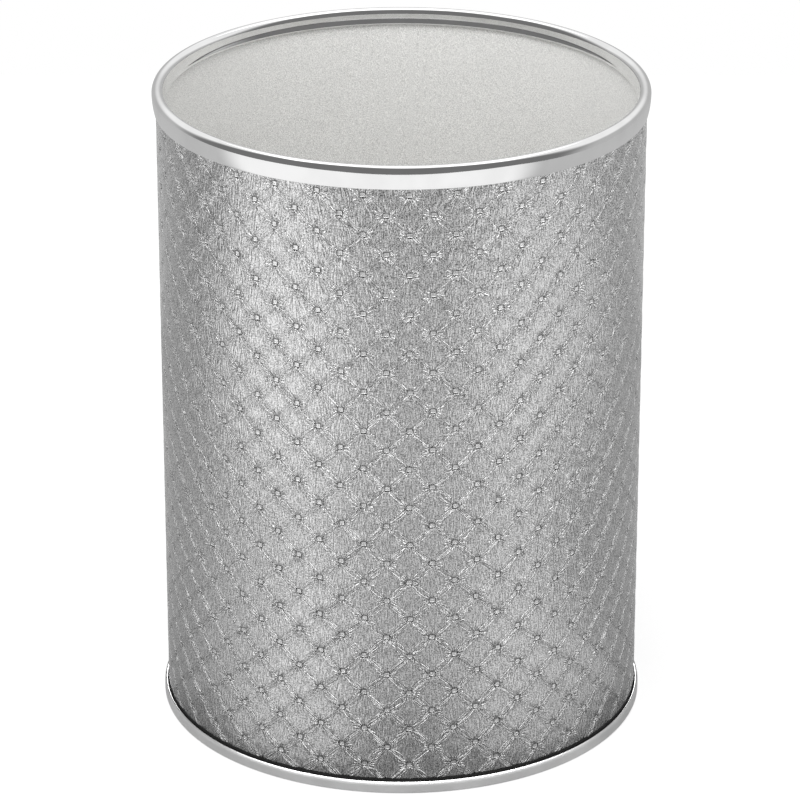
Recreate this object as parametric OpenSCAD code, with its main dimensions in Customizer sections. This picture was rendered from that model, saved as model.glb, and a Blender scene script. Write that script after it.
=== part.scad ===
// Round open wastebasket. A rolled steel drum is lined inside, padded and wrapped
// outside in button-tufted vinyl, capped by a bright rolled rim and stood in a
// bright foot ring. Millimetres, +Z up, origin on the floor at the basket's centre.

/* [Overall] */
// Height from the floor to the top of the rim
overall_h = 313; // [240:1:400]
// Diameter over the crowns of the tufted wrap
body_d = 230; // [180:1:300]

/* [Tufted wrap] */
// Columns of tufts round the body, an even count
tuft_columns = 68; // [48:2:90]
// Height from one tuft to the next in the same column
tuft_pitch = 19; // [14:0.5:26]
// Depth of a tuft below the crowns round it
tuft_depth = 1; // [0.5:0.1:1.8]
// Drop from the top of the rim to the first row of tufts below it
first_row_drop = 14; // [11:0.5:20]
// Turn of the first tuft column from the front
first_column_turn = 1.9; // [0:0.1:10]
// Thickness of the vinyl at the bottom of a tuft
vinyl_t = 0.3; // [0.3:0.1:1]

/* [Drum and linings] */
// Thickness of the foam backing under the vinyl
foam_t = 0.5; // [0.4:0.1:2]
// Thickness of the steel drum's wall
shell_t = 0.6; // [0.4:0.1:1.2]
// Thickness of the lining inside the drum
liner_t = 0.5; // [0.3:0.1:1.2]
// Thickness of the lining on the floor
floor_lining_t = 0.5; // [0.3:0.1:2]
// Thickness of the pressed base plate
plate_t = 0.8; // [0.5:0.1:1.5]
// Drop from the top of the foot ring to the top of the base plate
plate_drop = 0.2; // [0:0.1:1]

/* [Top rim] */
// Thickness of the rim's sheet
rim_t = 0.5; // [0.3:0.1:0.9]
// How far the rim stands out past the crowns of the wrap
rim_proud = 1.7; // [1.5:0.1:3]
// Depth of the rim's outer leg, from the top of the rim
rim_outer_depth = 10.5; // [8:0.1:14]
// Depth of the rim's inner leg, from the top of the rim
rim_inner_depth = 7.4; // [6:0.1:14]

/* [Foot ring] */
// Thickness of the foot ring's sheet
ring_t = 0.8; // [0.5:0.1:1.5]
// How far the foot ring stands out past the crowns of the wrap
ring_proud = 1.95; // [1.9:0.05:4]
// Height of the foot ring's outer leg
ring_h = 6.2; // [5:0.1:10]
// Height of the rounded shoulder at the top of the outer leg
shoulder_rise = 2.5; // [2:0.1:4]
// Radius of the shoulder on its outside
shoulder_r = 5; // [4.4:0.1:8]
// Extra thickness of the rolled edge along the top of the shoulder
lip_swell = 0.2; // [0.1:0.05:0.4]
// Gap between the foot ring's inner leg and the base plate above it
inner_leg_gap = 0.8; // [0.2:0.1:1.5]
// Radius inside the bends of the foot ring and the base plate
bend_r = 0.4; // [0.2:0.1:0.8]

/* [Edge strip] */
// Height of the wrap's lower edge above the top of the foot ring
strip_rise = 0.8; // [0.3:0.1:2]

/* [Clearances] */
// Glue line between one layer of the wall and the next
layer_gap = 0.1; // [0.05:0.05:0.3]
// Gap between the rim's inner leg and the lining behind it
rim_inner_gap = 0.3; // [0.1:0.1:0.6]
// Gap between the lower edge of the rim's outer leg and the crowns
rim_outer_gap = 0.3; // [0.1:0.1:0.6]
// Gap between the top of the drum and the inside of the rim
rim_seat_gap = 0.2; // [0.1:0.1:0.5]

/* [Hidden] */
$fn = 180;

// Colours as the photo shows them, and plain metal and foam where nothing shows
BRIGHT = [0.80, 0.80, 0.79];
SILVER = [0.66, 0.66, 0.66];
LINING = [0.80, 0.80, 0.78];
STEEL = [0.55, 0.56, 0.57];
FOAM = [0.90, 0.88, 0.80];
BLACK = [0.05, 0.05, 0.05];

// Radii of the wall's layers, from the crowns of the wrap inwards
crown_r = body_d / 2;
tuft_r = crown_r - tuft_depth;
wrap_ri = tuft_r - vinyl_t;
foam_ro = wrap_ri - layer_gap;
foam_ri = foam_ro - foam_t;
shell_ro = foam_ri - layer_gap;
shell_ri = shell_ro - shell_t;
liner_ro = shell_ri - layer_gap;
liner_ri = liner_ro - liner_t;

// Top rim: a half-round cap between an inner leg and a bulged outer leg
rim_ri = liner_ri - rim_inner_gap - rim_t;
rim_ro = crown_r + rim_proud;
rim_cap_r = (rim_ro - rim_ri) / 2;
rim_axis_r = rim_ri + rim_cap_r;
rim_axis_z = overall_h - rim_cap_r;
rim_outer_z = overall_h - rim_outer_depth;
rim_inner_z = overall_h - rim_inner_depth;
rim_leg_drop = rim_axis_z - rim_outer_z;
rim_tuck = rim_proud - rim_outer_gap - rim_t;
rim_bulge_r = (rim_leg_drop ^ 2 + rim_tuck ^ 2) / (2 * rim_tuck);

// Foot ring: a channel that holds the drum, the base plate's flange and the strip,
// its outer leg rolled in at the top to a rolled edge
ring_bend_r = ring_t + bend_r;
ring_ro = crown_r + ring_proud;
ring_slot_ro = ring_ro - ring_t;
plate_ro = shell_ri - layer_gap;
plate_bend_r = plate_t + bend_r;
ring_slot_ri = plate_ro - plate_t - bend_r - layer_gap;
ring_ri = ring_slot_ri - ring_t;
shoulder_z = ring_h - shoulder_rise;
shoulder_mid_r = shoulder_r - ring_t / 2;
lip_d = ring_t + lip_swell;
shoulder_turn = asin((shoulder_rise - lip_d / 2) / shoulder_mid_r);
lip_r = ring_ro - shoulder_r + shoulder_mid_r * cos(shoulder_turn);

// Heights
plate_top = ring_h - plate_drop;
ring_inner_h = plate_top - plate_t - inner_leg_gap;
floor_top = plate_top + floor_lining_t;
wrap_bottom = ring_h + strip_rise;
wrap_top = rim_axis_z;
shell_reach = max(rim_axis_r - shell_ri, shell_ro - rim_axis_r);
shell_top = rim_axis_z + sqrt((rim_cap_r - rim_t) ^ 2 - shell_reach ^ 2) - rim_seat_gap;

// Tuft lattice: tufts and crowns alternate along every level and every column
level_step = tuft_pitch / 2;
column_step = 360 / tuft_columns;
first_row_z = overall_h - first_row_drop;
top_level = ceil((first_row_z - wrap_top) / level_step + 0.05);
bottom_level = floor((first_row_z - wrap_bottom) / level_step - 0.05);
wrap_levels = concat(
    [wrap_top],
    [for (level = [top_level : bottom_level]) first_row_z - level * level_step],
    [wrap_bottom]
);
level_count = len(wrap_levels);
wrap_bore_r = wrap_ri / cos(column_step / 2);

// Radius of a lattice point: a tuft where column and level add up to an even number
function lattice_r(column, level) = (column + level) % 2 == 0 ? tuft_r : crown_r;

// Radius of the wrap on a column at any height, straight from one level to the next
function wrap_r(column, z) =
    let (place = (first_row_z - z) / level_step, level = floor(place + 0.001), part = place - level)
    lattice_r(column, level) * (1 - part) + lattice_r(column, level + 1) * part;

function column_angle(column) = -90 + first_column_turn + column * column_step;

function ring_point(r, column, z) =
    let (angle = column_angle(column)) [r * cos(angle), r * sin(angle), z];

// Number of a point on the wrap's outside, and on its bore's top and bottom rings
function outer_id(row, column) = row * tuft_columns + column % tuft_columns;
function bore_id(end, column) = (level_count + end) * tuft_columns + column % tuft_columns;

// Two triangles over four corners given clockwise, split from the first to the third
function split(p, q, r, s) = [[p, q, r], [p, r, s]];

// True where the crease runs down to the right across the patch below a level
function crease_falls(row, column) =
    let (mid_z = (wrap_levels[row] + wrap_levels[row + 1]) / 2,
         level = floor((first_row_z - mid_z) / level_step))
    (column + level) % 2 == 0;

// One patch of the outside, split along the crease that joins its two tufts
function patch(row, column) =
    let (ul = outer_id(row, column), ur = outer_id(row, column + 1),
         lr = outer_id(row + 1, column + 1), ll = outer_id(row + 1, column))
    crease_falls(row, column) ? split(ul, ur, lr, ll) : split(ur, lr, ll, ul);

// A flat ring end of the sheet and a strip of its bore
function top_edge(column) =
    split(outer_id(0, column), bore_id(0, column), bore_id(0, column + 1), outer_id(0, column + 1));
function bottom_edge(column) =
    let (row = level_count - 1)
    split(outer_id(row, column), outer_id(row, column + 1), bore_id(1, column + 1), bore_id(1, column));
function bore_strip(column) =
    split(bore_id(0, column + 1), bore_id(0, column), bore_id(1, column), bore_id(1, column + 1));

// A rectangle between two radii and two heights
module band(r_in, r_out, z_low, z_high) {
    translate([r_in, z_low])
        square([r_out - r_in, z_high - z_low]);
}

// A plain tube between two radii and two heights
module tube(r_in, r_out, z_low, z_high) {
    rotate_extrude()
        band(r_in, r_out, z_low, z_high);
}

// A quarter bend of sheet about a centre, turned from the +r, +z quarter
module bend(centre_r, centre_z, sheet_t, turn) {
    translate([centre_r, centre_z])
        rotate(turn)
            intersection() {
                difference() {
                    circle(r = bend_r + sheet_t);
                    circle(r = bend_r);
                }
                square(bend_r + sheet_t);
            }
}

// Section inside a face of the rim, set in from its outside face, run on below its legs
module rim_section(inset, run_on) {
    translate([rim_axis_r, rim_axis_z])
        circle(r = rim_cap_r - inset);
    band(rim_ri + inset, rim_axis_r, rim_inner_z - run_on, rim_axis_z);
    intersection() {
        translate([rim_ro - rim_bulge_r, rim_axis_z])
            circle(r = rim_bulge_r - inset);
        band(rim_axis_r, rim_ro, rim_outer_z - run_on, rim_axis_z);
    }
}

// Bright rolled rim over the drum's top edge, both legs ending in a rounded edge
module top_rim() {
    bulge_mid_r = rim_bulge_r - rim_t / 2;
    outer_end_r = rim_ro - rim_bulge_r + sqrt(bulge_mid_r ^ 2 - rim_leg_drop ^ 2);
    color(BRIGHT)
        rotate_extrude() {
            difference() {
                rim_section(0, 0);
                rim_section(rim_t, rim_t);
            }
            translate([outer_end_r, rim_outer_z])
                circle(d = rim_t);
            translate([rim_ri + rim_t / 2, rim_inner_z])
                circle(d = rim_t);
        }
}

// Matte lining rolled inside the drum, standing on the floor lining
module inner_liner() {
    color(LINING)
        tube(liner_ri, liner_ro, floor_top, rim_axis_z);
}

// Rolled steel drum that carries the whole basket
module body_shell() {
    color(STEEL)
        tube(shell_ri, shell_ro, ring_t, shell_top);
}

// Foam glued round the drum under the vinyl
module foam_backing() {
    color(FOAM)
        tube(foam_ri, foam_ro, wrap_bottom, wrap_top);
}

// Tufted vinyl: a point at every tuft and every crown, creased from tuft to tuft
module vinyl_wrap() {
    columns = [0 : tuft_columns - 1];
    outside = [for (z = wrap_levels) for (c = columns) ring_point(wrap_r(c, z), c, z)];
    bore = [for (z = [wrap_top, wrap_bottom]) for (c = columns) ring_point(wrap_bore_r, c, z)];
    patches = [for (row = [0 : level_count - 2]) for (c = columns) each patch(row, c)];
    ends = [for (c = columns) each concat(top_edge(c), bottom_edge(c), bore_strip(c))];
    color(SILVER)
        polyhedron(points = concat(outside, bore), faces = concat(patches, ends), convexity = 4);
}

// Black strip in the foot ring's channel, which takes the wrap's lower edge
module edge_strip() {
    strip_ri = shell_ro + layer_gap;
    strip_ro = ring_slot_ro - layer_gap;
    neck_r = min(crown_r, lip_r - lip_d / 2 - layer_gap);
    color(BLACK)
        rotate_extrude() {
            band(strip_ri, strip_ro - bend_r, ring_t, ring_bend_r);
            band(strip_ri, strip_ro, ring_bend_r, shoulder_z);
            band(strip_ri, neck_r, shoulder_z, wrap_bottom);
        }
}

// Shoulder of the foot ring's outer leg, an arc of sheet that ends in a rolled edge
module ring_shoulder() {
    reach = 2 * shoulder_r;
    translate([ring_ro - shoulder_r, shoulder_z]) {
        intersection() {
            difference() {
                circle(r = shoulder_r);
                circle(r = shoulder_r - ring_t);
            }
            polygon([[0, 0], [reach, 0], reach * [cos(shoulder_turn), sin(shoulder_turn)]]);
        }
        rotate(shoulder_turn)
            translate([shoulder_mid_r, 0])
                circle(d = lip_d);
    }
}

// Bright foot ring: a bent channel with rounded edges, flat underneath
module foot_ring() {
    color(BRIGHT)
        rotate_extrude() {
            band(ring_ri + ring_bend_r, ring_ro - ring_bend_r, 0, ring_t);
            bend(ring_ro - ring_bend_r, ring_bend_r, ring_t, -90);
            bend(ring_ri + ring_bend_r, ring_bend_r, ring_t, 180);
            band(ring_slot_ro, ring_ro, ring_bend_r, shoulder_z);
            ring_shoulder();
            band(ring_ri, ring_slot_ri, ring_bend_r, ring_inner_h - ring_t / 2);
            translate([ring_ri + ring_t / 2, ring_inner_h - ring_t / 2])
                circle(d = ring_t);
        }
}

// Pressed base plate with its flange turned down into the foot ring
module base_plate() {
    color(STEEL)
        rotate_extrude() {
            band(0, plate_ro - plate_bend_r, plate_top - plate_t, plate_top);
            bend(plate_ro - plate_bend_r, plate_top - plate_bend_r, plate_t, 0);
            band(plate_ro - plate_t, plate_ro, ring_t, plate_top - plate_bend_r);
        }
}

// Matte lining glued on the base plate
module floor_lining() {
    color(LINING)
        translate([0, 0, plate_top])
            cylinder(r = liner_ro, h = floor_lining_t);
}

top_rim();
inner_liner();
body_shell();
foam_backing();
vinyl_wrap();
edge_strip();
foot_ring();
base_plate();
floor_lining();
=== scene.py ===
"""Looks of a round open wastebasket: tufted silver vinyl, bright rim and foot ring, matte lining."""
import math

import bpy
import numpy as np
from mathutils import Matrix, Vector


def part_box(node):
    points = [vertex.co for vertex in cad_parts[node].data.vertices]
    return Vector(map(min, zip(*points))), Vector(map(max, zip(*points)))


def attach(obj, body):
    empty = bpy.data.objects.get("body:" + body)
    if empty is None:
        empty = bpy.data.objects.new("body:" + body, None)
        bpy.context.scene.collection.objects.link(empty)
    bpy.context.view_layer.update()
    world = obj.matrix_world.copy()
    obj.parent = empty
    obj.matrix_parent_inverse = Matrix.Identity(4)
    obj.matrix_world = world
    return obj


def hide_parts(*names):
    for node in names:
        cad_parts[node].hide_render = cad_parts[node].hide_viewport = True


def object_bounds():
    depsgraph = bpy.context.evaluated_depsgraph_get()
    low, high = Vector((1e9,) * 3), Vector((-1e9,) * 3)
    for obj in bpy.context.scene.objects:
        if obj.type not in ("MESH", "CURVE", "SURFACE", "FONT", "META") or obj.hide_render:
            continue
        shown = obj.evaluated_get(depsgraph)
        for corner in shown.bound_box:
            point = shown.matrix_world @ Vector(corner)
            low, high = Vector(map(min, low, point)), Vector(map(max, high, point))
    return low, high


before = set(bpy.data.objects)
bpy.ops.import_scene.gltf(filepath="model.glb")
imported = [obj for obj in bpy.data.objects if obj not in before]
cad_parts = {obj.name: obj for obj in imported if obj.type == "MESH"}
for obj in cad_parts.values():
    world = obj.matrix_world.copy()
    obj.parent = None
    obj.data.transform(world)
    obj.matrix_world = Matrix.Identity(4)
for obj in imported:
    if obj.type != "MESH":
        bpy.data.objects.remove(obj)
cad_low, cad_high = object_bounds()

MM = 0.001

# Sizes of the basket, in metres
HEIGHT = cad_high.z
CROWN_R = 115.0 * MM
WRAP_BORE_R = 113.7 * MM
WRAP_BOTTOM, WRAP_TOP = (corner.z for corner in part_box("vinyl_wrap"))
FOAM_BOTTOM, FOAM_TOP = (corner.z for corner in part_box("foam_backing"))
FOAM_OUTER_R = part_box("foam_backing")[1].x
FOAM_T = 0.5 * MM
RIM_OUTER_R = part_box("top_rim")[1].x
RIM_INNER_R = 111.0 * MM
RIM_SHEET = 0.5 * MM
RIM_OUTER_DEPTH = 10.5 * MM
RIM_INNER_DEPTH = 7.4 * MM
RIM_TUCK = 0.9 * MM
RIM_FLARE = 0.95 * MM
RING_OUTER_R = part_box("foot_ring")[1].x
RING_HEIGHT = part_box("foot_ring")[1].z + 0.3 * MM
RING_INNER_R = 110.2 * MM
RING_SHEET = 0.8 * MM
RING_INNER_HEIGHT = 4.4 * MM
RING_BEND = 0.95 * MM
SHOULDER_RISE = 2.8 * MM
SHOULDER_R = 4.6 * MM
LIP_R = 0.5 * MM
SPIN_STEPS = 256
SMOOTH_ANGLE = math.radians(40)
WELD = 0.001 * MM
SAME_PLACE = 1e-9

# Tuft lattice: tufts and crowns alternate along every level and every column
TUFT_COLUMNS = 68
LEVEL_STEP = 9.5 * MM
COLUMN_STEP = 2 * math.pi * CROWN_R / TUFT_COLUMNS
CREASE_STEP = 2 * COLUMN_STEP * LEVEL_STEP / math.hypot(COLUMN_STEP, LEVEL_STEP)
FIRST_ROW_Z = HEIGHT - 14.0 * MM
FIRST_COLUMN_TURN = math.radians(1.9)
TOP_LEVEL = (FIRST_ROW_Z - WRAP_TOP) / LEVEL_STEP
BOTTOM_LEVEL = (FIRST_ROW_Z - WRAP_BOTTOM) / LEVEL_STEP

# The sheet of vinyl is cut between two columns at the back, where its edges butt
SEAM_COLUMN = TUFT_COLUMNS / 2 + 0.5
SEAM_GAP = 0.3 * MM
STEPS_PER_CELL = 24
EVEN_SHARE = 0.35
CROWDING_POWER = 2.2
WRAP_SEED = 68
OUTER_MAP_SHARE = 0.95
HIDDEN_MAP_SHARE = 0.045

# Relief of the vinyl, in metres below the crowns
CREASE_DEPTH = 0.1 * MM
PUFF_POWER = 2.2
FUNNEL_DEPTH = 0.36 * MM
FUNNEL_REACH = 3.2 * MM
PRESS_HALF_W = 1.3 * MM
PRESS_HALF_H = 1.15 * MM
PRESS_CORNER = 0.4 * MM
PRESS_WALL = 0.15 * MM
TUFT_FLOOR = 1.0 * MM
TUFT_FLOOR_SPREAD = 0.24 * MM
TUFT_DRIFT = 0.014
TUFT_PULL = (0.75, 1.25)
CROWN_SPREAD = 0.07 * MM
GROOVE_DEPTH = 0.03 * MM
GROOVE_WIDTH = 0.3 * MM
GROOVE_POWER = 1.5
GROOVE_FADE = (2 * MM, 6 * MM)
GROOVE_LOSS = 0.9
STRANDS = 7
STRAND_SPREAD = 1.7 * MM
STRAND_WIDTH = 0.3 * MM
STRAND_HEIGHT = 0.085 * MM
STRAND_SWAY = 0.8 * MM
STRAND_START = (0.08, 0.25)
STRAND_END = (0.5, 1)
STRAND_REACH = (0.3, 0.9)
STRAND_SPLAY = (0.4, 1.4)
STRAND_SHARE = (0.4, 1.0)
GATHERS = 15
GATHER_HEIGHT = 0.03 * MM
GATHER_SWAY = 1.2
GATHER_START = (1.5 * MM, 2.2 * MM)
GATHER_END = (2.8 * MM, 5 * MM)
EDGE_ROLL = 0.4 * MM
EDGE_DEPTH = 0.08 * MM
LEAST_SHEET = 0.12 * MM

# Strands and fans are stronger on the lower levels, from the first of these to the second
LOWER_LEVELS = (2.0, 24.0)
UPPER_STRANDS = 0.6

# Fine folds and grain in the material: counts per millimetre or turn, lengths and heights in millimetres
FOLD_WIDTH = 0.22
FOLD_DETAIL = 0.6
FOLD_COUNT = 2.6
FOLD_RUN = 1.2
FOLD_EDGE = (0.8, 2.5)
FOLD_BUMP = 0.13
STRAND_COUNT = 1.4
STRAND_FADE = (1.2, 3.2)
STRAND_BUMP = (0.07, 0.22)
BOW_POWER = 0.8
LEAST_BOW = 0.05
# Width of the band of painted shade along the creases, in millimetres
PAINTED_CREASE_SHADE_WIDTH = 0.5
FAN_COUNT = 3.8
FAN_RUN = 0.2
FAN_START = (1.3, 2.0)
FAN_REACH = (2.0, 7.0)
FAN_BUMP = (0.26, 0.36)
LEAST_REACH = 0.5
FOLD_SEEDS = 90.0
FAN_SEEDS = 70.0
CELL_MARGIN = 0.004
HAIR_COUNT = (2.1, 0.25, 1)
HAIR_BUMP = 0.06
HAIR_SHADE = 0.45
SPECK_COUNT = (1.9, 1.33, 1)
SPECK_BUMP = 0.05
SPECK_SHADE = 0.75
GRAIN_DETAIL = 0.5

# Wear of metal and lining: marks per metre, and how far a polish line runs round
POLISH_LINES = 4000.0
POLISH_RUN = 0.002
SMUDGES = 45.0
DUST_GRAINS = 3000.0

# Camera, fitted to the rim, the foot ring and the tuft rows
CAMERA_BACK = 1.8672
CAMERA_HEIGHT = 0.9506
CAMERA_PITCH = math.radians(23.166)
CAMERA_YAW = math.radians(0.021)
CAMERA_LENS = 189.56
CAMERA_SENSOR = 36.0
CAMERA_CLIP = 50

# Colours and finishes
VINYL_DARK = (0.17, 0.17, 0.17)
VINYL_LIGHT = (0.53, 0.53, 0.53)
# Painted shade: the creases are darkened toward this colour, where shade falls in the folds
VINYL_PAINTED_CREASE_SHADE = (0.17, 0.17, 0.17)
VINYL_PRESSED = (0.47, 0.47, 0.47)
# Painted shade: the steep walls of the pressed tufts are darkened toward this colour
VINYL_PAINTED_WALL_SHADE = (0.13, 0.13, 0.13)
VINYL_TINT = (0.8, 0.8, 0.8, 1)
VINYL_ROUGH = (0.22, 0.3)
VINYL_FLAKE = (0.3, 0.7)
# Share of the painted shade along the creases
PAINTED_CREASE_SHADE_SHARE = 0.15
# Strength of the painted shade on the tuft walls
PAINTED_WALL_SHADE_SHARE = 3.2
PRESSED_POLISH = 0.04
PRESSED_SMOOTHING = 0.8
CHROME_DARK = (0.84, 0.84, 0.84)
CHROME_LIGHT = (0.90, 0.90, 0.90)
LINING_DARK = (0.54, 0.538, 0.528)
LINING_LIGHT = (0.88, 0.878, 0.86)
STEEL_DARK = (0.42, 0.43, 0.44)
STEEL_LIGHT = (0.5, 0.51, 0.52)
# Painted shade: the strip under the vinyl is near black so that it stands for the shadowed gap above the
# foot ring
STRIP_GAP_SHADE_DARK = (0.012, 0.012, 0.012)
STRIP_GAP_SHADE_LIGHT = (0.025, 0.025, 0.025)
FOAM_DARK = (0.78, 0.76, 0.69)
FOAM_LIGHT = (0.87, 0.85, 0.78)
SMUDGE_EDGE = (0.35, 0.65)
SMUDGE_ROUGH = 0.6
FLECK_EDGE = (0.3, 0.7)
FLECK_DUST = 0.95

# Floor, room and light
FLOOR_COLOUR = (0.25, 0.25, 0.25)
FLOOR_ROUGH = 0.9
FLOOR_LIFT = 0.7
FLOOR_SIZE = 1.9
FLOOR_MIDDLE = (-0.11, -0.02)
MIRRORED_LIFT = 0.6
# Painted contact shadow in metal: the floor's glow falls to this share at the basket's foot, over these
# distances from the axis
FOOT_SHADOW_GLOW_SHARE = 0.15
FOOT_SHADOW_REACH = (0.118, 0.25)
AMBIENT_LEVEL = 1.15
WALL_LEVELS = (0.5, 0.95)
WALL_RISE = (0.15, 0.45)
ROOM_LEVEL = 0.18
ROOM_EDGE = (-0.4, 0.1)
ROOM_TOP = (0.97, 1.0)
FLOOR_EDGE = (0.2, 0.5)
BACK_FLOOR_SHARE = 0.25
FRONT_TURN = -12.0
NOT_ZERO = 1e-6

# Lamps that lie on the floor and light only the vinyl: turn, distance, width and length, power
CARD_HEIGHT = 0.003
CARDS = {
    "left_card": (-55, 1.1, (0.66, 1.3), 3.4),
    "left_near_card": (-37, 0.29, (0.13, 0.32), 0.09),
    "right_card": (66, 1.1, (0.78, 1.3), 3.4),
    "right_near_card": (50, 0.29, (0.18, 0.32), 0.09),
    "front_card": (0, 0.85, (0.5, 0.4), 0.3),
    "back_card": (180, 1.1, (1.5, 1.3), 2.6),
    "left_side_card": (-120, 0.52, (0.4, 0.85), 0.26),
    "right_side_card": (120, 0.52, (0.4, 0.85), 0.26),
}

# Lamps that bring out the folds of the vinyl, by their turn
FOLD_LIGHTS = {
    "left_fold_light": -55,
    "middle_fold_light": 0,
    "right_fold_light": 55,
    "back_fold_light": 180,
}
SIDE_LIGHTS = {"left_side_light": -108, "right_side_light": 108}


def deselect_all():
    if bpy.context.object and bpy.context.object.mode != "OBJECT":
        bpy.ops.object.mode_set(mode="OBJECT")
    bpy.ops.object.select_all(action="DESELECT")


def arc(centre, radius, start, end, steps):
    """Points (radius, height) along an arc from one angle to another, in degrees."""
    turns = np.radians(np.linspace(start, end, steps + 1))
    return [(centre[0] + radius * math.cos(t), centre[1] + radius * math.sin(t)) for t in turns]


def spin_section(name, outline):
    """A closed outline of (radius, height) points spun round the basket's axis."""
    deselect_all()
    bpy.ops.mesh.primitive_plane_add(size=MM)
    piece = bpy.context.object
    piece.name = name
    bpy.ops.object.mode_set(mode="EDIT")
    bpy.ops.mesh.merge(type="CENTER")
    bpy.ops.transform.translate(value=(outline[0][0], 0, outline[0][1]))
    for here, there in zip(outline, outline[1:] + outline[:1]):
        step = (there[0] - here[0], 0, there[1] - here[1])
        bpy.ops.mesh.extrude_region_move(TRANSFORM_OT_translate={"value": step})
    bpy.ops.mesh.select_all(action="SELECT")
    bpy.ops.mesh.remove_doubles(threshold=WELD)
    bpy.ops.mesh.spin(steps=SPIN_STEPS, angle=2 * math.pi, center=(0, 0, 0), axis=(0, 0, 1))
    bpy.ops.mesh.select_all(action="SELECT")
    bpy.ops.mesh.remove_doubles(threshold=WELD)
    bpy.ops.mesh.normals_make_consistent(inside=False)
    bpy.ops.object.mode_set(mode="OBJECT")
    bpy.ops.object.shade_smooth_by_angle(angle=SMOOTH_ANGLE)
    return piece


def finish_piece(piece, node, material):
    """Sets the piece in the frame in place of its CAD node."""
    piece.data.materials.clear()
    piece.data.materials.append(material)
    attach(piece, "root")
    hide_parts(node)


# Rim and foot ring

def make_rim():
    """Rolled rim: half-round cap, slightly flared inner leg and bulged outer leg, all of one sheet."""
    cap_r = (RIM_OUTER_R - RIM_INNER_R) / 2
    axis = (RIM_INNER_R + cap_r, HEIGHT - cap_r)
    drop = axis[1] - (HEIGHT - RIM_OUTER_DEPTH)
    bulge_r = (drop ** 2 + RIM_TUCK ** 2) / (2 * RIM_TUCK)
    bulge_centre = (RIM_OUTER_R - bulge_r, axis[1])
    turn = math.degrees(math.asin(drop / (bulge_r - RIM_SHEET / 2)))
    lip = arc(bulge_centre, bulge_r - RIM_SHEET / 2, -turn, -turn, 0)[0]
    inner_lip = (RIM_INNER_R + RIM_SHEET / 2 - RIM_FLARE, HEIGHT - RIM_INNER_DEPTH)
    outline = arc(inner_lip, RIM_SHEET / 2, 0, -180, 6)
    for part in (0.8, 0.6, 0.4, 0.2):
        z = axis[1] + (inner_lip[1] - axis[1]) * part
        outline.append((RIM_INNER_R - RIM_FLARE * part ** 2, z))
    outline += arc(axis, cap_r, 180, 0, 28)
    outline += arc(bulge_centre, bulge_r, -turn / 8, -turn, 7)
    outline += arc(lip, RIM_SHEET / 2, -turn, -turn - 180, 6)[1:]
    outline += arc(bulge_centre, bulge_r - RIM_SHEET, -turn * 3 / 4, -turn / 4, 2)
    outline += arc(axis, cap_r - RIM_SHEET, 0, 180, 16)
    return spin_section("rolled_rim", outline)


def meeting_turn(first_r, offset, second_r):
    """Turn from a circle's centre to its meeting with the first circle, in degrees."""
    return math.degrees(math.acos((first_r ** 2 + offset ** 2 - second_r ** 2) / (2 * first_r * offset)))


def bearing(centre, point):
    """Direction from one point of a section to another, in degrees from 0 to 360."""
    return math.degrees(math.atan2(point[1] - centre[1], point[0] - centre[0])) % 360


def make_foot_ring():
    """Foot ring: a bent channel whose outer leg rolls in at the top to a rolled edge."""
    shoulder_centre = (RING_OUTER_R - SHOULDER_R, RING_HEIGHT - SHOULDER_RISE)
    middle_r = SHOULDER_R - RING_SHEET / 2
    turn = math.degrees(math.asin((SHOULDER_RISE - LIP_R) / middle_r))
    lip = arc(shoulder_centre, middle_r, turn, turn, 0)[0]
    outer_turn = turn - meeting_turn(SHOULDER_R, middle_r, LIP_R)
    inner_turn = turn - meeting_turn(SHOULDER_R - RING_SHEET, middle_r, LIP_R)
    outer_meet = arc(shoulder_centre, SHOULDER_R, outer_turn, outer_turn, 0)[0]
    inner_meet = arc(shoulder_centre, SHOULDER_R - RING_SHEET, inner_turn, inner_turn, 0)[0]
    inner_lip = (RING_INNER_R + RING_SHEET / 2, RING_INNER_HEIGHT - RING_SHEET / 2)
    outer_bend = (RING_OUTER_R - RING_BEND, RING_BEND)
    inner_bend = (RING_INNER_R + RING_BEND, RING_BEND)
    outline = arc(inner_lip, RING_SHEET / 2, 0, 180, 6)
    outline += arc(inner_bend, RING_BEND, 180, 270, 6)
    outline += arc(outer_bend, RING_BEND, 270, 360, 8)
    outline += arc(shoulder_centre, SHOULDER_R, 0, outer_turn, 12)
    outline += arc(lip, LIP_R, bearing(lip, outer_meet), bearing(lip, inner_meet), 12)[1:]
    outline += arc(shoulder_centre, SHOULDER_R - RING_SHEET, inner_turn, 0, 3)[1:]
    outline += arc(outer_bend, RING_BEND - RING_SHEET, 360, 270, 4)
    outline += arc(inner_bend, RING_BEND - RING_SHEET, 270, 180, 4)
    return spin_section("foot_channel", outline)


# Tufted vinyl

def smooth_step(start, end, value):
    """0 before start, 1 past end, eased in between."""
    part = np.clip((value - start) / (end - start), 0, 1)
    return part * part * (3 - 2 * part)


def between(limits, share):
    """A share of the way from the first limit to the second."""
    return limits[0] + (limits[1] - limits[0]) * share


def lattice_places(u, v, radius):
    """Points at columns u and levels v of the lattice, on a given radius."""
    turn = FIRST_COLUMN_TURN + u * (2 * math.pi / TUFT_COLUMNS)
    z = FIRST_ROW_Z - v * LEVEL_STEP
    return np.stack([radius * np.sin(turn), -radius * np.cos(turn), z], axis=-1)


def pick(table, first, second):
    """The entry of a random table for each crease or tuft, found by its two lattice numbers."""
    rows, columns = table.shape[:2]
    return table[first.astype(int) % rows, second.astype(int) % columns]


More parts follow.
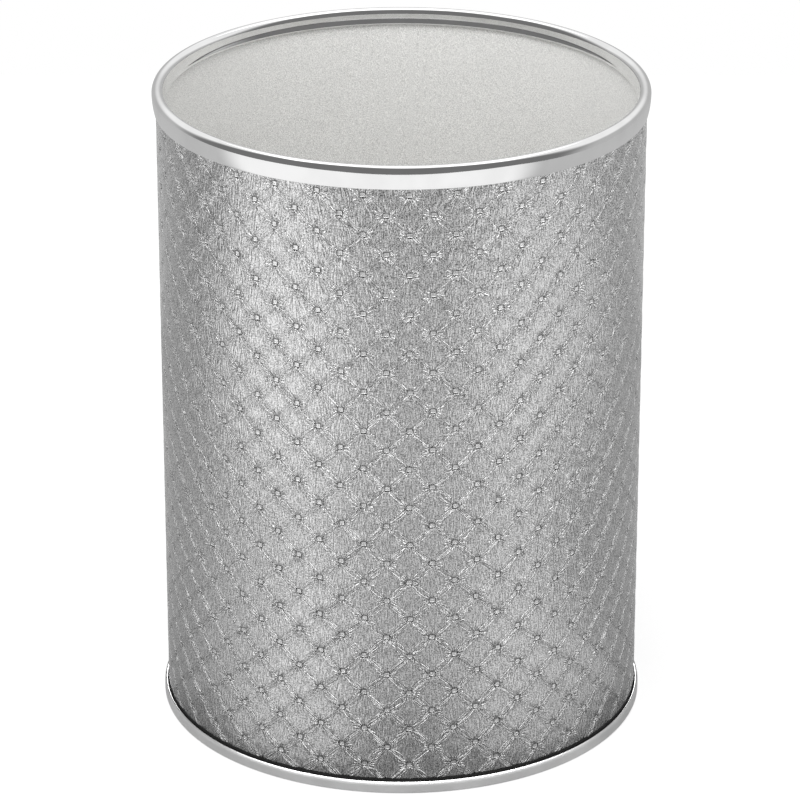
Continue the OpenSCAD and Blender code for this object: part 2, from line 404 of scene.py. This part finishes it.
def crease_strands(along, across, first, second, rng):
    """Height of the fine folds that run from the tufts along a crease and die out on the way."""
    count = TUFT_COLUMNS
    total = np.zeros_like(along)
    for _ in range(STRANDS):
        start, end, reach, height, sway = pick(rng.random((count, count, 5)), first, second).T
        from_far = pick(rng.random((count, count)), first, second) > 0.5
        run = np.where(from_far, 1 - along, along) / between(STRAND_REACH, reach)
        start_at = (2 * start - 1) * STRAND_SPREAD
        end_at = start_at * between(STRAND_SPLAY, end)
        swing = (sway - 0.5) * STRAND_SWAY * np.sin(math.pi * run)
        middle = start_at + (end_at - start_at) * run + swing
        fold = np.exp(-((across - middle) / STRAND_WIDTH) ** 2)
        fade = smooth_step(*STRAND_START, run) * (1 - smooth_step(*STRAND_END, run))
        total += between(STRAND_SHARE, height) * STRAND_HEIGHT * fold * fade
    return total


def vinyl_relief(u, v):
    """Depth below the crowns and share of pressed tuft, at columns u and levels v."""
    rng = np.random.default_rng(WRAP_SEED)
    count = TUFT_COLUMNS
    p = (u + v) / 2
    q = (u - v) / 2
    drift = rng.normal(0, TUFT_DRIFT, (count, count, 2))
    low_p, low_q = np.floor(p), np.floor(q)
    part_p, part_q = (p - low_p)[:, None], (q - low_q)[:, None]
    shift = (pick(drift, low_p, low_q) * (1 - part_p) * (1 - part_q)
             + pick(drift, low_p + 1, low_q) * part_p * (1 - part_q)
             + pick(drift, low_p, low_q + 1) * (1 - part_p) * part_q
             + pick(drift, low_p + 1, low_q + 1) * part_p * part_q)
    p = p + shift[:, 0]
    q = q + shift[:, 1]
    tuft_p, tuft_q = np.round(p), np.round(q)
    off_p, off_q = p - tuft_p, q - tuft_q
    across = (off_p + off_q) * COLUMN_STEP
    up = (off_q - off_p) * LEVEL_STEP
    reach = np.hypot(across, up)

    puff_p = 1 - (1 - 2 * np.abs(off_p)) ** PUFF_POWER
    puff_q = 1 - (1 - 2 * np.abs(off_q)) ** PUFF_POWER
    crown = puff_p * puff_q
    crown_drop = pick(rng.random((count, count)), np.floor(p), np.floor(q)) * CROWN_SPREAD
    pull = between(TUFT_PULL, pick(rng.random((count, count)), tuft_p, tuft_q))
    depth = CREASE_DEPTH * (1 - crown) + crown_drop * crown ** 2
    depth += FUNNEL_DEPTH * pull * np.exp(-(reach / FUNNEL_REACH) ** 2)

    cross_p, cross_q = off_p * CREASE_STEP, off_q * CREASE_STEP
    groove = sum(np.exp(-(np.abs(cross) / GROOVE_WIDTH) ** GROOVE_POWER) for cross in (cross_p, cross_q))
    depth += GROOVE_DEPTH * np.minimum(groove, 1) * (1 - GROOVE_LOSS * smooth_step(*GROOVE_FADE, reach))
    folds = crease_strands(p - np.floor(p), cross_q, np.floor(p), tuft_q, rng)
    folds += crease_strands(q - np.floor(q), cross_p, np.floor(q), tuft_p, rng)
    phase = pick(rng.random((count, count, 2)), tuft_p, tuft_q) * 2 * math.pi
    side = np.arctan2(up, across)
    ring = smooth_step(*GATHER_START, reach) * (1 - smooth_step(*GATHER_END, reach))
    gathers = np.cos(GATHERS * side + phase[:, 0] + GATHER_SWAY * np.sin(2 * side + phase[:, 1]))
    strand_share = between((UPPER_STRANDS, 1), smooth_step(*LOWER_LEVELS, v))
    depth -= folds * strand_share + GATHER_HEIGHT * gathers * ring

    corner_x = np.abs(across) - (PRESS_HALF_W - PRESS_CORNER)
    corner_y = np.abs(up) - (PRESS_HALF_H - PRESS_CORNER)
    edge = np.hypot(np.maximum(corner_x, 0), np.maximum(corner_y, 0))
    edge += np.minimum(np.maximum(corner_x, corner_y), 0)
    pressed = 1 - smooth_step(-PRESS_WALL, PRESS_WALL, edge - PRESS_CORNER)
    floor = TUFT_FLOOR - TUFT_FLOOR_SPREAD * (TUFT_PULL[1] - pull)
    depth = depth * (1 - pressed) + floor * pressed

    above_edge = (BOTTOM_LEVEL - v) * LEVEL_STEP
    beside_seam = (TUFT_COLUMNS / 2 - np.abs(u - (SEAM_COLUMN - TUFT_COLUMNS / 2))) * COLUMN_STEP
    nearest = np.minimum(above_edge, beside_seam)
    depth += EDGE_DEPTH * (1 - smooth_step(0, EDGE_ROLL, nearest)) ** 2
    return np.minimum(depth, CROWN_R - WRAP_BORE_R - LEAST_SHEET), pressed


def cell_steps():
    """Places of the mesh lines across one diamond, crowded at the creases."""
    part = np.linspace(0, 1, STEPS_PER_CELL // 2 + 1)
    half = (EVEN_SHARE * part + (1 - EVEN_SHARE) * part ** CROWDING_POWER) / 2
    return np.concatenate([half[:-1], 1 - half[:0:-1]])


def lattice_sheet():
    """Columns, levels and quads of the vinyl, on mesh lines that follow the creases."""
    steps = cell_steps()
    count = STEPS_PER_CELL
    left, right = SEAM_COLUMN - TUFT_COLUMNS, SEAM_COLUMN
    margin = SEAM_GAP / 2 / COLUMN_STEP
    left, right = left + margin, right - margin
    p_low = math.floor((left + TOP_LEVEL) / 2) - 1
    p_high = math.ceil((right + BOTTOM_LEVEL) / 2) + 1
    t_low = math.floor((TOP_LEVEL - 1) * count)
    t_high = math.ceil((BOTTOM_LEVEL + 1) * count)
    rows, across = np.arange(p_low * count, p_high * count), np.arange(t_low, t_high + 1)
    i, t = np.meshgrid(rows, across, indexing="ij")
    j = i - t
    p = i // count + steps[i % count]
    q = j // count + steps[j % count]
    u, v = p + q, p - q
    inside = (u > left) & (u < right) & (v > TOP_LEVEL) & (v < BOTTOM_LEVEL)
    number = np.arange(u.size).reshape(u.shape)
    corners = [number[:-1, 1:-1], number[1:, 2:], number[1:, 1:-1], number[:-1, :-2]]
    quads = np.stack(corners, axis=-1).reshape(-1, 4)
    quads = quads[inside.ravel()[quads].any(axis=1)]
    used, quads = np.unique(quads, return_inverse=True)
    u = np.clip(u.ravel()[used], left, right)
    v = np.clip(v.ravel()[used], TOP_LEVEL, BOTTOM_LEVEL)
    return u, v, quads.reshape(-1, 4)


def edge_numbers(u, v, level):
    """Points of the sheet on a level edge, from left to right."""
    on_edge = np.flatnonzero(np.abs(v - level) < SAME_PLACE)
    return on_edge[np.argsort(u[on_edge])]


def seam_numbers(u, v, column):
    """Points of the sheet on one side of the seam, from top to bottom."""
    on_edge = np.flatnonzero(np.abs(u - column) < SAME_PLACE)
    return on_edge[np.argsort(v[on_edge])]


def zip_rows(upper, lower, upper_u, lower_u):
    """Triangles between two rows of points that run side by side with unlike steps."""
    faces = []
    a = b = 0
    while a < len(upper) - 1 or b < len(lower) - 1:
        take_upper = b == len(lower) - 1 or (a < len(upper) - 1 and upper_u[a + 1] < lower_u[b + 1])
        if take_upper:
            faces.append((upper[a], upper[a + 1], lower[b]))
            a += 1
        else:
            faces.append((upper[a], lower[b + 1], lower[b]))
            b += 1
    return faces


def make_vinyl():
    """Tufted vinyl: one closed sheet with pressed tufts, creases, folds and a butt seam at the back."""
    u, v, quads = lattice_sheet()
    depth, pressed = vinyl_relief(u, v)
    outside = lattice_places(u, v, CROWN_R - depth)
    top, bottom = edge_numbers(u, v, v.min()), edge_numbers(u, v, v.max())
    backs = np.concatenate([top, bottom])
    bore = lattice_places(u[backs], v[backs], WRAP_BORE_R)
    back_top = len(u) + np.arange(len(top))
    back_bottom = len(u) + len(top) + np.arange(len(bottom))
    faces = [tuple(quad) for quad in quads.tolist()]
    faces += [(top[k], top[k + 1], back_top[k + 1], back_top[k]) for k in range(len(top) - 1)]
    faces += [(bottom[k + 1], bottom[k], back_bottom[k], back_bottom[k + 1])
              for k in range(len(bottom) - 1)]
    faces += zip_rows(back_top, back_bottom, u[top], u[bottom])
    left, right = seam_numbers(u, v, u.min()), seam_numbers(u, v, u.max())
    faces.append((*left, back_bottom[0], back_top[0]))
    faces.append((*right[::-1], back_top[-1], back_bottom[-1]))

    mesh = bpy.data.meshes.new("tufted_vinyl")
    mesh.from_pydata(np.concatenate([outside, bore]), [], faces, shade_flat=False)
    all_u, all_v = np.concatenate([u, u[backs]]), np.concatenate([v, v[backs]])
    write_maps(mesh, all_u, all_v, len(quads))
    layer = mesh.attributes.new("pressed", "FLOAT", "POINT")
    layer.data.foreach_set("value", np.concatenate([pressed, np.zeros(len(backs))]).astype(np.float32))
    piece = bpy.data.objects.new("tufted_vinyl", mesh)
    bpy.context.scene.collection.objects.link(piece)
    return piece


def write_maps(mesh, u, v, outer_faces):
    """Lattice map for the material, and a map with no overlaps for the whole sheet."""
    corners = np.zeros(len(mesh.loops), np.int32)
    mesh.loops.foreach_get("vertex_index", corners)
    across = ((u - u.min()) / (u.max() - u.min()))[corners]
    down = ((v - v.min()) / (v.max() - v.min()))[corners]
    height = 1 - OUTER_MAP_SHARE * down
    hidden = np.arange(len(corners)) >= 4 * outer_faces
    height[hidden] = HIDDEN_MAP_SHARE * (1 - down[hidden])
    for name, x, y in (("wrap_lattice", u[corners], v[corners]), ("OFBake", across, height)):
        layer = mesh.uv_layers.new(name=name)
        layer.data.foreach_set("uv", np.stack([x, y], axis=-1).astype(np.float32).ravel())


def make_foam():
    """Foam sleeve under the vinyl, a plain closed tube."""
    turns = np.linspace(0, 2 * math.pi, SPIN_STEPS, endpoint=False)
    corners = ((FOAM_OUTER_R, FOAM_BOTTOM), (FOAM_OUTER_R, FOAM_TOP),
               (FOAM_OUTER_R - FOAM_T, FOAM_TOP), (FOAM_OUTER_R - FOAM_T, FOAM_BOTTOM))
    points = [(r * math.cos(t), r * math.sin(t), z) for t in turns for r, z in corners]
    faces = []
    for k in range(SPIN_STEPS):
        here, there = 4 * k, 4 * ((k + 1) % SPIN_STEPS)
        faces += [(here + c, there + c, there + (c + 1) % 4, here + (c + 1) % 4) for c in range(4)]
    mesh = bpy.data.meshes.new("foam_sleeve")
    mesh.from_pydata(points, [], faces)
    piece = bpy.data.objects.new("foam_sleeve", mesh)
    bpy.context.scene.collection.objects.link(piece)
    return piece


# Materials

def place(tree, kind, inputs=None, **settings):
    """A new node with its settings and the values or sockets that feed it."""
    node = tree.nodes.new(kind)
    for key, value in settings.items():
        setattr(node, key, value)
    for key, value in (inputs or {}).items():
        if isinstance(value, bpy.types.NodeSocket):
            tree.links.new(value, node.inputs[key])
        else:
            node.inputs[key].default_value = value
    return node


def maths(tree, operation, *values):
    return place(tree, "ShaderNodeMath", dict(enumerate(values)), operation=operation).outputs[0]


def scaled(tree, vector, factors):
    return place(tree, "ShaderNodeVectorMath", {0: vector, 1: factors}, operation="MULTIPLY").outputs[0]


def joined(tree, x, y, z):
    return place(tree, "ShaderNodeCombineXYZ", {0: x, 1: y, 2: z}).outputs[0]


def noise(tree, vector, scale, detail):
    inputs = {"Vector": vector, "Scale": scale, "Detail": detail}
    return place(tree, "ShaderNodeTexNoise", inputs).outputs[0]


def eased(tree, value, start, end):
    """0 before start, 1 past end."""
    inputs = {"Value": value, "From Min": start, "From Max": end}
    return place(tree, "ShaderNodeMapRange", inputs, interpolation_type="SMOOTHSTEP").outputs[0]


def spread(tree, value, low, high):
    """A value between 0 and 1 spread from low to high."""
    inputs = {"Value": value, "To Min": low, "To Max": high}
    return place(tree, "ShaderNodeMapRange", inputs).outputs[0]


def blend(tree, share, first, second):
    """One colour, or the colour from a socket, passing into another."""
    start = first if isinstance(first, bpy.types.NodeSocket) else (*first, 1)
    inputs = {0: share, 6: start, 7: (*second, 1)}
    return place(tree, "ShaderNodeMix", inputs, data_type="RGBA").outputs[2]


def times(tree, first, second):
    return maths(tree, "MULTIPLY", first, second)


def remainder(tree, share):
    """What is left of 1."""
    return maths(tree, "SUBTRACT", 1.0, share)


def total(tree, *values):
    result = values[0]
    for value in values[1:]:
        result = maths(tree, "ADD", result, value)
    return result


def start_group(name, vector, values):
    """A shader group that takes one vector and puts out some values, with its inputs and outputs."""
    tree = bpy.data.node_groups.new(name, "ShaderNodeTree")
    tree.interface.new_socket(vector, in_out="INPUT", socket_type="NodeSocketVector")
    for label in values:
        tree.interface.new_socket(label, in_out="OUTPUT", socket_type="NodeSocketFloat")
    return tree, tree.nodes.new("NodeGroupInput").outputs, tree.nodes.new("NodeGroupOutput").inputs


def use_group(tree, group, inputs):
    return place(tree, "ShaderNodeGroup", inputs, node_tree=group).outputs


def start_material(name, settings):
    """A material, its node tree and its shader, with the shader's even settings."""
    material = bpy.data.materials.new(name)
    material.use_nodes = True
    shader = material.node_tree.nodes["Principled BSDF"]
    for key, value in settings.items():
        shader.inputs[key].default_value = value
    return material, material.node_tree, shader.inputs


def bump(tree, height):
    """Normal from a height in millimetres."""
    return place(tree, "ShaderNodeBump", {"Strength": 1.0, "Distance": MM, "Height": height}).outputs[0]


def inner_part(tree, value):
    """Place within a diamond, from just above 0 to just below 1."""
    part = maths(tree, "FRACT", value)
    return maths(tree, "MINIMUM", maths(tree, "MAXIMUM", part, CELL_MARGIN), 1 - CELL_MARGIN)


def ridges(tree, line):
    """Thin raised lines where a noise passes its middle."""
    wave = maths(tree, "ABSOLUTE", maths(tree, "SUBTRACT", noise(tree, line, 1.0, FOLD_DETAIL), 0.5))
    return remainder(tree, eased(tree, wave, 0.0, FOLD_WIDTH))


def fold_lines(tree, x, y, seed):
    """Fine folds that fan out of a diamond's upper tuft and gather again at the lower one."""
    log_x, log_y = (maths(tree, "LOGARITHM", part, math.e) for part in (x, y))
    ratio = maths(tree, "DIVIDE", log_y, log_x)
    label = times(tree, maths(tree, "LOGARITHM", ratio, math.e), FOLD_COUNT)
    run = times(tree, maths(tree, "ADD", x, y), FOLD_RUN)
    return ridges(tree, joined(tree, total(tree, label, times(tree, seed, FOLD_SEEDS)), run, 0.0))


def crease_lines(tree, off, along, seed):
    """Fine folds that leave a tuft beside a crease, bow apart and gather again at the next tuft."""
    run = maths(tree, "FRACT", along)
    bow = times(tree, times(tree, run, remainder(tree, run)), 4.0)
    bow = maths(tree, "POWER", maths(tree, "MAXIMUM", bow, LEAST_BOW), BOW_POWER)
    beside = maths(tree, "DIVIDE", times(tree, off, CREASE_STEP / MM), bow)
    label = total(tree, times(tree, beside, STRAND_COUNT), times(tree, seed, FOLD_SEEDS))
    fade = remainder(tree, eased(tree, maths(tree, "ABSOLUTE", beside), *STRAND_FADE))
    return times(tree, ridges(tree, joined(tree, label, run, 0.0)), fade)


def lattice_seed(tree, first, second):
    """An even random value for each pair of whole numbers."""
    inputs = {"Vector": joined(tree, first, second, 0.0)}
    return place(tree, "ShaderNodeTexWhiteNoise", inputs, noise_dimensions="2D").outputs["Value"]


def fan_lines(tree, across, up, reach, seed):
    """Fine folds that spread from a tuft to all sides."""
    scale = maths(tree, "DIVIDE", FAN_COUNT, maths(tree, "MAXIMUM", reach, LEAST_REACH))
    run = total(tree, times(tree, reach, FAN_RUN), times(tree, seed, FAN_SEEDS))
    return ridges(tree, joined(tree, times(tree, across, scale), times(tree, up, scale), run))


def vinyl_grain_group():
    """Fine folds, gathers and upright grain of the vinyl, and a mask of painted shade along its creases,
    from its lattice map.
    """
    tree, start, end = start_group("vinyl_grain", "Lattice", ("Height", "Grain", "Painted crease shade"))
    u, v, _ = place(tree, "ShaderNodeSeparateXYZ", {0: start["Lattice"]}).outputs
    p = times(tree, maths(tree, "ADD", u, v), 0.5)
    q = times(tree, maths(tree, "SUBTRACT", u, v), 0.5)
    low_p, low_q = maths(tree, "FLOOR", p), maths(tree, "FLOOR", q)
    near_p, near_q = maths(tree, "ROUND", p), maths(tree, "ROUND", q)
    off_p, off_q = maths(tree, "SUBTRACT", p, near_p), maths(tree, "SUBTRACT", q, near_q)
    column_mm, level_mm, crease_mm = COLUMN_STEP / MM, LEVEL_STEP / MM, CREASE_STEP / MM

    across = times(tree, maths(tree, "ADD", off_p, off_q), column_mm)
    up = times(tree, maths(tree, "SUBTRACT", off_q, off_p), level_mm)
    reach = maths(tree, "SQRT", total(tree, times(tree, across, across), times(tree, up, up)))
    cross_p = times(tree, maths(tree, "ABSOLUTE", off_p), crease_mm)
    cross_q = times(tree, maths(tree, "ABSOLUTE", off_q), crease_mm)
    nearest = maths(tree, "MINIMUM", cross_p, cross_q)
    inside = eased(tree, nearest, *FOLD_EDGE)
    fan_fade = remainder(tree, eased(tree, reach, *FAN_REACH))
    by_tuft = times(tree, eased(tree, reach, *FAN_START), fan_fade)

    strands = total(tree, crease_lines(tree, off_q, p, lattice_seed(tree, low_p, near_q)),
                    crease_lines(tree, off_p, q, lattice_seed(tree, near_p, low_q)))
    gathered = fold_lines(tree, remainder(tree, inner_part(tree, p)), inner_part(tree, q),
                          lattice_seed(tree, low_p, low_q))
    fans = fan_lines(tree, across, up, reach, lattice_seed(tree, near_p, near_q))
    lower = eased(tree, v, *LOWER_LEVELS)
    folds = total(tree, times(tree, strands, spread(tree, lower, *STRAND_BUMP)),
                  times(tree, times(tree, gathered, inside), FOLD_BUMP),
                  times(tree, times(tree, fans, by_tuft), spread(tree, lower, *FAN_BUMP)))

    place_mm = scaled(tree, start["Lattice"], (column_mm, level_mm, 0))
    hair = noise(tree, scaled(tree, place_mm, HAIR_COUNT), 1.0, GRAIN_DETAIL)
    hair = maths(tree, "SUBTRACT", hair, 0.5)
    speck = noise(tree, scaled(tree, place_mm, SPECK_COUNT), 1.0, GRAIN_DETAIL)
    height = total(tree, folds, times(tree, hair, HAIR_BUMP), times(tree, speck, SPECK_BUMP))
    grain = total(tree, times(tree, hair, HAIR_SHADE), times(tree, speck, SPECK_SHADE),
                  (1 - SPECK_SHADE) / 2)
    tree.links.new(height, end["Height"])
    tree.links.new(grain, end["Grain"])
    # Painted shade: a thin darker band along the creases
    tree.links.new(remainder(tree, eased(tree, nearest, 0.0, PAINTED_CREASE_SHADE_WIDTH)), end["Painted crease shade"])
    return tree


def wear_group():
    """Turned polish lines round the axis, smudges and fine dust, from Object coordinates."""
    tree, start, end = start_group("wear", "Position", ("Lines", "Smudge", "Dust"))
    x, y, z = place(tree, "ShaderNodeSeparateXYZ", {0: start["Position"]}).outputs
    radius = maths(tree, "SQRT", total(tree, times(tree, x, x), times(tree, y, y)))
    turn = times(tree, maths(tree, "ARCTAN2", y, x), POLISH_RUN)
    lines = noise(tree, joined(tree, radius, z, turn), POLISH_LINES, detail=2.0)
    tree.links.new(lines, end["Lines"])
    tree.links.new(noise(tree, start["Position"], SMUDGES, detail=3.0), end["Smudge"])
    tree.links.new(noise(tree, start["Position"], DUST_GRAINS, detail=0.0), end["Dust"])
    return tree


def object_place(tree):
    return place(tree, "ShaderNodeTexCoord").outputs["Object"]


def vinyl_material(grain):
    settings = {"Metallic": 1.0, "Specular Tint": VINYL_TINT}
    material, tree, shader = start_material("silver_vinyl", settings)
    lattice = place(tree, "ShaderNodeUVMap", uv_map="wrap_lattice").outputs[0]
    pressed = place(tree, "ShaderNodeAttribute", attribute_name="pressed").outputs["Fac"]
    folds = use_group(tree, grain, {"Lattice": lattice})
    flake = eased(tree, folds["Grain"], *VINYL_FLAKE)
    shade = blend(tree, flake, VINYL_DARK, VINYL_LIGHT)
    # Painted shade: darker colour along the creases
    shade = blend(tree, times(tree, folds["Painted crease shade"], PAINTED_CREASE_SHADE_SHARE), shade, VINYL_PAINTED_CREASE_SHADE)
    shade = blend(tree, pressed, shade, VINYL_PRESSED)
    # Painted shade on the steep walls of the pressed tufts
    wall = times(tree, times(tree, pressed, remainder(tree, pressed)), PAINTED_WALL_SHADE_SHARE)
    tree.links.new(blend(tree, wall, shade, VINYL_PAINTED_WALL_SHADE), shader["Base Color"])
    polish = times(tree, pressed, PRESSED_POLISH)
    rough = maths(tree, "SUBTRACT", spread(tree, flake, *VINYL_ROUGH), polish)
    tree.links.new(rough, shader["Roughness"])
    open_share = remainder(tree, times(tree, pressed, PRESSED_SMOOTHING))
    tree.links.new(bump(tree, times(tree, folds["Height"], open_share)), shader["Normal"])
    return material


def metal_material(name, wear, dark, light, rough, line_height):
    """Metal with smudges and turned polish lines, whose height is in millimetres."""
    material, tree, shader = start_material(name, {"Metallic": 1.0})
    marks = use_group(tree, wear, {"Position": object_place(tree)})
    smudge = eased(tree, marks["Smudge"], *SMUDGE_EDGE)
    tree.links.new(blend(tree, smudge, dark, light), shader["Base Color"])
    uneven = total(tree, times(tree, marks["Smudge"], SMUDGE_ROUGH),
                   times(tree, marks["Lines"], 1 - SMUDGE_ROUGH))
    tree.links.new(spread(tree, uneven, *rough), shader["Roughness"])
    tree.links.new(bump(tree, times(tree, marks["Lines"], line_height)), shader["Normal"])
    return material


def matte_material(name, wear, dark, light, rough, grain_height):
    """Matte surface with flecks and a fine grain, whose height is in millimetres."""
    material, tree, shader = start_material(name, {"Specular IOR Level": 0.3})
    marks = use_group(tree, wear, {"Position": object_place(tree)})
    fleck = total(tree, times(tree, marks["Dust"], FLECK_DUST),
                  times(tree, marks["Smudge"], 1 - FLECK_DUST))
    tree.links.new(blend(tree, eased(tree, fleck, *FLECK_EDGE), dark, light), shader["Base Color"])
    tree.links.new(spread(tree, marks["Smudge"], *rough), shader["Roughness"])
    tree.links.new(bump(tree, times(tree, marks["Dust"], grain_height)), shader["Normal"])
    return material


# Camera, floor and light

def make_camera():
    data = bpy.data.cameras.new("camera")
    data.lens = CAMERA_LENS
    data.sensor_width = CAMERA_SENSOR
    data.clip_end = CAMERA_CLIP
    camera = bpy.data.objects.new("camera", data)
    camera.location = (0, -CAMERA_BACK, CAMERA_HEIGHT)
    camera.rotation_euler = (math.pi / 2 - CAMERA_PITCH, 0, CAMERA_YAW)
    bpy.context.scene.collection.objects.link(camera)
    bpy.context.scene.camera = camera


def frontness(tree, vector, edge):
    """1 toward the front of the basket and 0 toward its back, eased between two cosines of the turn."""
    x, y, _ = place(tree, "ShaderNodeSeparateXYZ", {0: vector}).outputs
    level = maths(tree, "SQRT", total(tree, times(tree, x, x), times(tree, y, y), NOT_ZERO))
    turn = math.radians(FRONT_TURN)
    toward = maths(tree, "SUBTRACT", times(tree, x, math.sin(turn)), times(tree, y, math.cos(turn)))
    return eased(tree, maths(tree, "DIVIDE", toward, level), *edge)


def floor_lift(tree):
    """Glow of the floor: white to the camera, and in metal less behind the basket and at its foot, where
    the dimmer glow is a painted contact shadow.
    """
    path = place(tree, "ShaderNodeLightPath").outputs
    spot = object_place(tree)
    out = place(tree, "ShaderNodeVectorMath", {0: spot}, operation="LENGTH").outputs["Value"]
    front = spread(tree, frontness(tree, spot, FLOOR_EDGE), BACK_FLOOR_SHARE, 1.0)
    # Painted contact shadow: less glow in metal near the foot
    foot = spread(tree, eased(tree, out, *FOOT_SHADOW_REACH), FOOT_SHADOW_GLOW_SHARE, 1.0)
    by_metal = maths(tree, "MAXIMUM", path["Is Glossy Ray"], path["Is Transmission Ray"])
    mirrored = times(tree, times(tree, front, foot), MIRRORED_LIFT)
    return total(tree, times(tree, path["Is Camera Ray"], FLOOR_LIFT), times(tree, by_metal, mirrored))


def make_floor():
    """Pale floor, lifted to white where it is seen, that keeps the basket's shadow."""
    deselect_all()
    bpy.ops.mesh.primitive_plane_add(size=FLOOR_SIZE, location=(*FLOOR_MIDDLE, 0))
    bpy.ops.object.transform_apply(location=True)
    floor = bpy.context.object
    floor.name = "floor"
    settings = {"Base Color": (*FLOOR_COLOUR, 1), "Roughness": FLOOR_ROUGH,
                "Emission Color": (1, 1, 1, 1)}
    material, tree, shader = start_material("pale_floor", settings)
    tree.links.new(floor_lift(tree), shader["Emission Strength"])
    material.cycles.emission_sampling = "NONE"
    floor.data.materials.append(material)


def make_softbox(name, azimuth, distance, height, tilt, size, power, mirrored=True, lit=None):
    """A soft lamp placed by its turn from the front toward the right, tilted up from straight down.

    With lit it lights only the pieces of that collection.
    """
    data = bpy.data.lights.new(name, "AREA")
    data.shape = "RECTANGLE"
    data.size, data.size_y = size
    data.energy = power
    lamp = bpy.data.objects.new(name, data)
    turn = math.radians(azimuth)
    lamp.location = (math.sin(turn) * distance, -math.cos(turn) * distance, height)
    lamp.rotation_euler = (math.radians(tilt), 0, turn)
    lamp.visible_camera = False
    lamp.visible_glossy = mirrored
    lamp.light_linking.receiver_collection = lit
    bpy.context.scene.collection.objects.link(lamp)


def make_world():
    """White to the camera, even light on the basket, and in the metal a dim room behind the camera."""
    world = bpy.data.worlds.new("studio")
    bpy.context.scene.world = world
    world.use_nodes = True
    world.cycles.sampling_method = "NONE"
    tree = world.node_tree
    sight = place(tree, "ShaderNodeTexCoord").outputs["Generated"]
    rise = place(tree, "ShaderNodeSeparateXYZ", {0: sight}).outputs[2]
    wall = spread(tree, eased(tree, rise, *WALL_RISE), *WALL_LEVELS)
    room = times(tree, frontness(tree, sight, ROOM_EDGE), remainder(tree, eased(tree, rise, *ROOM_TOP)))
    mirrored = total(tree, times(tree, wall, remainder(tree, room)), times(tree, room, ROOM_LEVEL))
    path = place(tree, "ShaderNodeLightPath").outputs
    by_metal = maths(tree, "MAXIMUM", path["Is Glossy Ray"], path["Is Transmission Ray"])
    strength = total(tree, path["Is Camera Ray"], times(tree, by_metal, mirrored),
                     times(tree, path["Is Diffuse Ray"], AMBIENT_LEVEL))
    background = tree.nodes["Background"]
    background.inputs["Color"].default_value = (1, 1, 1, 1)
    tree.links.new(strength, background.inputs["Strength"])


def lit_pieces(name, *pieces):
    """A collection of the only pieces that some lamps light."""
    lit = bpy.data.collections.new(name)
    for piece in pieces:
        lit.objects.link(piece)
    return lit


def make_studio(wrap, foot):
    """Camera, floor and light."""
    make_camera()
    make_floor()
    make_world()
    make_softbox("overhead_softbox", azimuth=180, distance=0.75, height=1.8, tilt=0,
                 size=(1.5, 1.5), power=5)
    make_softbox("front_key", azimuth=-15, distance=0.95, height=1.75, tilt=32,
                 size=(0.9, 0.9), power=16, mirrored=False)
    wrap_only = lit_pieces("lit_by_cards", wrap)
    wrap_and_foot = lit_pieces("lit_by_fold_lights", wrap, foot)
    for name, (azimuth, distance, size, power) in CARDS.items():
        make_softbox(name, azimuth, distance, height=CARD_HEIGHT, tilt=180, size=size, power=power,
                     lit=wrap_only)
    for name, azimuth in FOLD_LIGHTS.items():
        make_softbox(name, azimuth, distance=1.5, height=0.8, tilt=67, size=(1.2, 0.7), power=14.5,
                     lit=wrap_and_foot)
    for name, azimuth in SIDE_LIGHTS.items():
        make_softbox(name, azimuth, distance=1.4, height=0.3, tilt=90, size=(1.4, 0.45), power=5,
                     lit=wrap_only)
    bpy.context.scene.view_settings.view_transform = "Standard"


grain = vinyl_grain_group()
wear = wear_group()
vinyl = vinyl_material(grain)
chrome = metal_material("bright_metal", wear, CHROME_DARK, CHROME_LIGHT,
                        rough=(0.03, 0.08), line_height=0.0003)
satin = metal_material("bright_metal_satin", wear, CHROME_DARK, CHROME_LIGHT,
                       rough=(0.32, 0.44), line_height=0.0004)
steel = metal_material("drum_steel", wear, STEEL_DARK, STEEL_LIGHT,
                       rough=(0.25, 0.45), line_height=0.002)
lining = matte_material("matte_lining", wear, LINING_DARK, LINING_LIGHT,
                        rough=(0.5, 0.6), grain_height=0.1)
# Painted shade: near-black strip standing for the shadowed gap between the vinyl and the foot ring
gap_shade_black = matte_material("black_strip", wear, STRIP_GAP_SHADE_DARK, STRIP_GAP_SHADE_LIGHT,
                        rough=(0.55, 0.75), grain_height=0.02)
foam = matte_material("foam", wear, FOAM_DARK, FOAM_LIGHT,
                      rough=(0.85, 0.95), grain_height=0.15)

for node, material in (("inner_liner", lining), ("floor_lining", lining), ("body_shell", steel),
                       ("base_plate", steel), ("edge_strip", gap_shade_black), ("top_rim", chrome),
                       ("foot_ring", chrome), ("vinyl_wrap", vinyl), ("foam_backing", foam)):
    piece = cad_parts[node]
    piece.data.materials.clear()
    piece.data.materials.append(material)

finish_piece(make_rim(), "top_rim", chrome)
foot = make_foot_ring()
finish_piece(foot, "foot_ring", satin)
wrap = make_vinyl()
finish_piece(wrap, "vinyl_wrap", vinyl)
sleeve = make_foam()
finish_piece(sleeve, "foam_backing", foam)
make_studio(wrap, foot)
